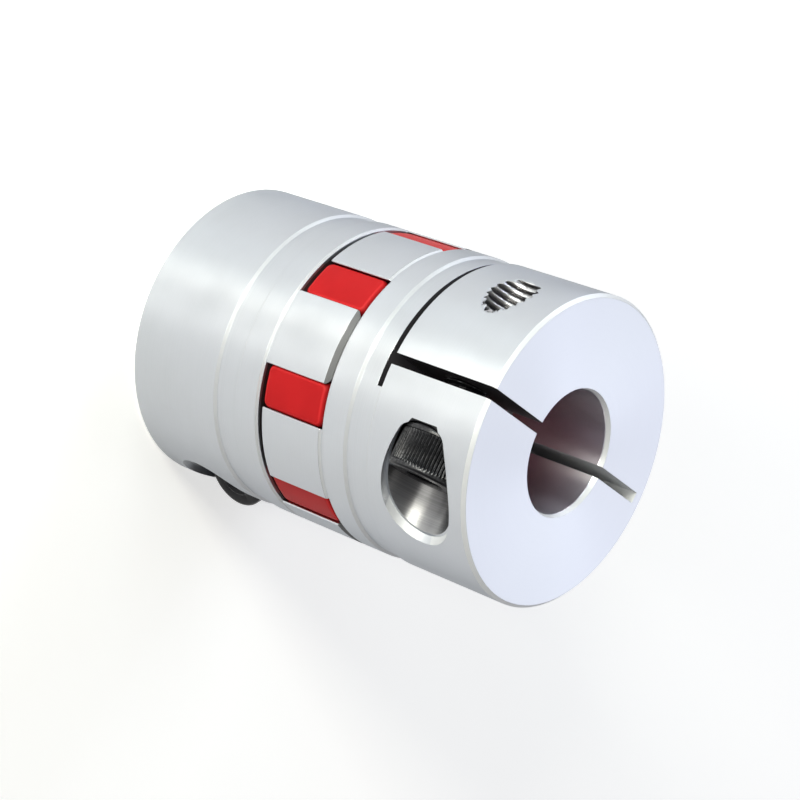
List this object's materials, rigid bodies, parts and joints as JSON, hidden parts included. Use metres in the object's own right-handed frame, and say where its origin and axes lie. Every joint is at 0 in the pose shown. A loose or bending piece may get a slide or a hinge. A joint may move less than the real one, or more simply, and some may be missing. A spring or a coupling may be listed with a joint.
{
  "type": "clamp-type jaw coupling",
  "caption": "Flexible shaft coupling: two slotted aluminium clamp hubs with interlocking jaws on a red elastomer star, each hub closed on its shaft by a socket-head screw.",
  "frame": {"origin": "centre of the lower hub's end face, on the shaft axis", "axes": "+Z along the shaft axis, out of the upper hub's bore; X is the line about which the coupling, turned over end for end, falls on itself"},
  "size_m": [0.055, 0.055, 0.078],
  "materials": {
    "hub": "fine-turned, satin",
    "spider": "smooth moulded elastomer",
    "screw": "black oxide"
  },
  "bodies": {
    "root": {"upper_hub": "hub", "lower_hub": "hub", "spider": "spider", "upper_clamp_screw": "screw", "lower_clamp_screw": "screw"}
  },
  "joints": []
}
